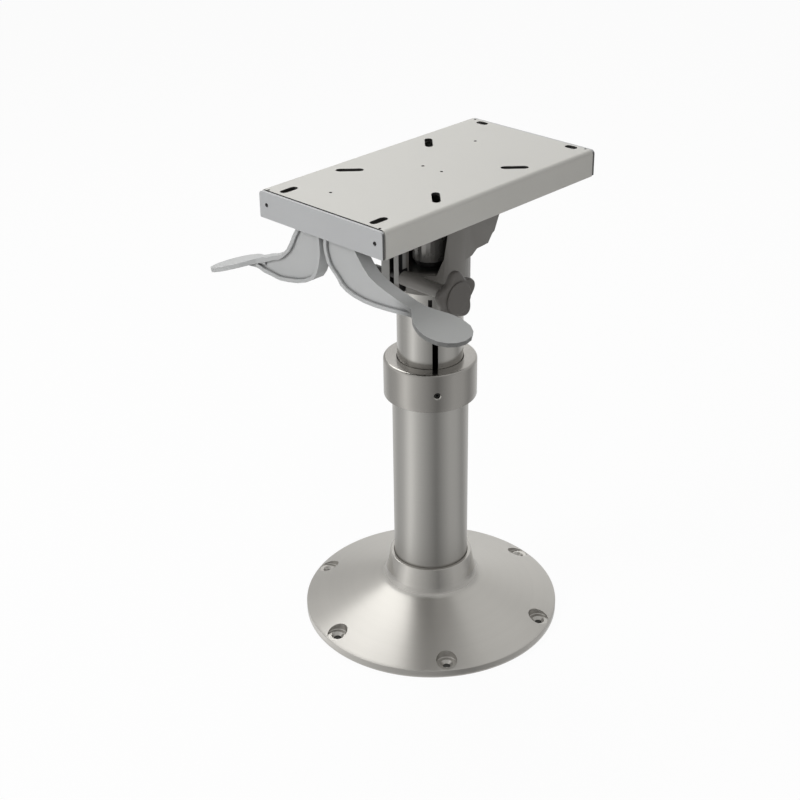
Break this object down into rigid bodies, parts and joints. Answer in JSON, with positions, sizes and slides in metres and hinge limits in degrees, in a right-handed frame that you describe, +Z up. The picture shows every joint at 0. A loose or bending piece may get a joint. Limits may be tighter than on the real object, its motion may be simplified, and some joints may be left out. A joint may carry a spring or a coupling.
{
  "type": "boat seat pedestal",
  "caption": "Telescoping boat seat pedestal on a round deck flange, with a swivelling cast head, a sliding seat plate, two release levers and a star knob.",
  "frame": {"origin": "centre of the deck flange, at the height of the deck it stands on", "axes": "+Z up along the post, -Y to the front where the two levers are, +X to the side with the star knob"},
  "size_m": [0.3708, 0.3552, 0.5655],
  "materials": {
    "spun_aluminium": "turned satin with fine circular lines",
    "anodised_tube": "drawn and anodised satin",
    "polished_tube": "polished and anodised",
    "bright_steel": "bright ground steel",
    "grey_paint": "grey semi-gloss paint on a casting",
    "plate_paint": "warm light grey satin paint",
    "lever_paint": "mid grey satin paint on a casting",
    "knob_plastic": "dark grey moulded, slightly textured",
    "shoe_plastic": "natural acetal",
    "zinc_steel": "zinc plated",
    "black_steel": "black oxide or black enamel"
  },
  "bodies": {
    "base": {"base_flange": "spun_aluminium", "socket_floor": "zinc_steel", "outer_tube": "anodised_tube", "height_collar": "spun_aluminium", "collar_key_screw": "black_steel", "upper_guide_bush": "shoe_plastic", "gas_spring_cylinder": "black_steel", "gas_spring_guide": "zinc_steel"},
    "post": {"inner_tube": "polished_tube", "lower_guide_ring": "shoe_plastic", "gas_spring_rod": "bright_steel", "swivel_spindle": "bright_steel", "thrust_bearing": "black_steel", "spindle_washer": "zinc_steel", "spindle_nut": "zinc_steel"},
    "valve_pin": {"release_push_rod": "bright_steel"},
    "head": {"swivel_head": "grey_paint", "spindle_sleeve": "bright_steel", "swivel_bush": "shoe_plastic", "knob_washer": "zinc_steel", "slide_carriage": "zinc_steel", "bolt_front_left": "zinc_steel", "bolt_front_right": "zinc_steel", "bolt_rear_left": "zinc_steel", "bolt_rear_right": "zinc_steel", "shoe_front_left": "shoe_plastic", "shoe_front_right": "shoe_plastic", "shoe_rear_left": "shoe_plastic", "shoe_rear_right": "shoe_plastic", "crank_bracket": "zinc_steel"},
    "clamp_knob": {"clamp_stud": "zinc_steel", "star_knob": "knob_plastic", "knob_cap": "knob_plastic"},
    "crank": {"release_crank": "zinc_steel"},
    "seat_slide": {"seat_plate": "plate_paint", "front_end_cap": "plate_paint", "rear_end_cap": "plate_paint", "cap_screw_front_left": "bright_steel", "cap_screw_front_right": "bright_steel", "cap_screw_rear_left": "bright_steel", "cap_screw_rear_right": "bright_steel", "front_rod_bracket": "zinc_steel", "rear_rod_bracket": "zinc_steel", "left_return_spring": "bright_steel", "right_return_spring": "bright_steel"},
    "height_lever": {"left_lever": "lever_paint", "left_release_rod": "bright_steel", "left_lever_pin": "zinc_steel", "left_stop_finger": "zinc_steel"},
    "slide_lever": {"right_lever": "lever_paint", "right_release_rod": "bright_steel", "right_lever_pin": "zinc_steel", "slide_lock_finger": "zinc_steel"}
  },
  "joints": [
    {"name": "height_slide", "type": "slide", "parent": "base", "child": "post", "axis": [0, 0, 1], "range_m": [-0.09, 0.05]},
    {"name": "valve_pin_slide", "type": "slide", "parent": "post", "child": "valve_pin", "axis": [0, 0, -1], "range_m": [0, 0.0052]},
    {"name": "seat_swivel", "type": "hinge", "parent": "post", "child": "head", "pos_m": [0, 0, 0.45], "axis": [0, 0, 1], "continuous": true},
    {"name": "knob_turn", "type": "hinge", "parent": "head", "child": "clamp_knob", "pos_m": [0.07, -0.048, 0.4555], "axis": [1, 0, 0], "range_deg": [0, 360]},
    {"name": "crank_turn", "type": "hinge", "parent": "head", "child": "crank", "pos_m": [-0.024, 0, 0.553], "axis": [0, 1, 0], "range_deg": [0, 12]},
    {"name": "seat_slide_travel", "type": "slide", "parent": "head", "child": "seat_slide", "axis": [0, 1, 0], "range_m": [-0.055, 0.045]},
    {"name": "height_lever_lift", "type": "hinge", "parent": "seat_slide", "child": "height_lever", "pos_m": [-0.024, -0.15, 0.553], "axis": [0, 1, 0], "range_deg": [0, 12], "stiffness_Nm_per_rad": 1.2, "springref_deg": -20.05, "deforming": ["left_return_spring"]},
    {"name": "slide_lever_lift", "type": "hinge", "parent": "seat_slide", "child": "slide_lever", "pos_m": [0.024, -0.15, 0.553], "axis": [0, -1, 0], "range_deg": [0, 6], "stiffness_Nm_per_rad": 1.2, "springref_deg": -20.05, "deforming": ["right_return_spring"]}
  ],
  "couplings": [
    {"joint": "crank_turn", "follows": "height_lever_lift", "ratio": 1},
    {"joint": "valve_pin_slide", "follows": "height_lever_lift", "m_per_rad": 0.0242}
  ]
}
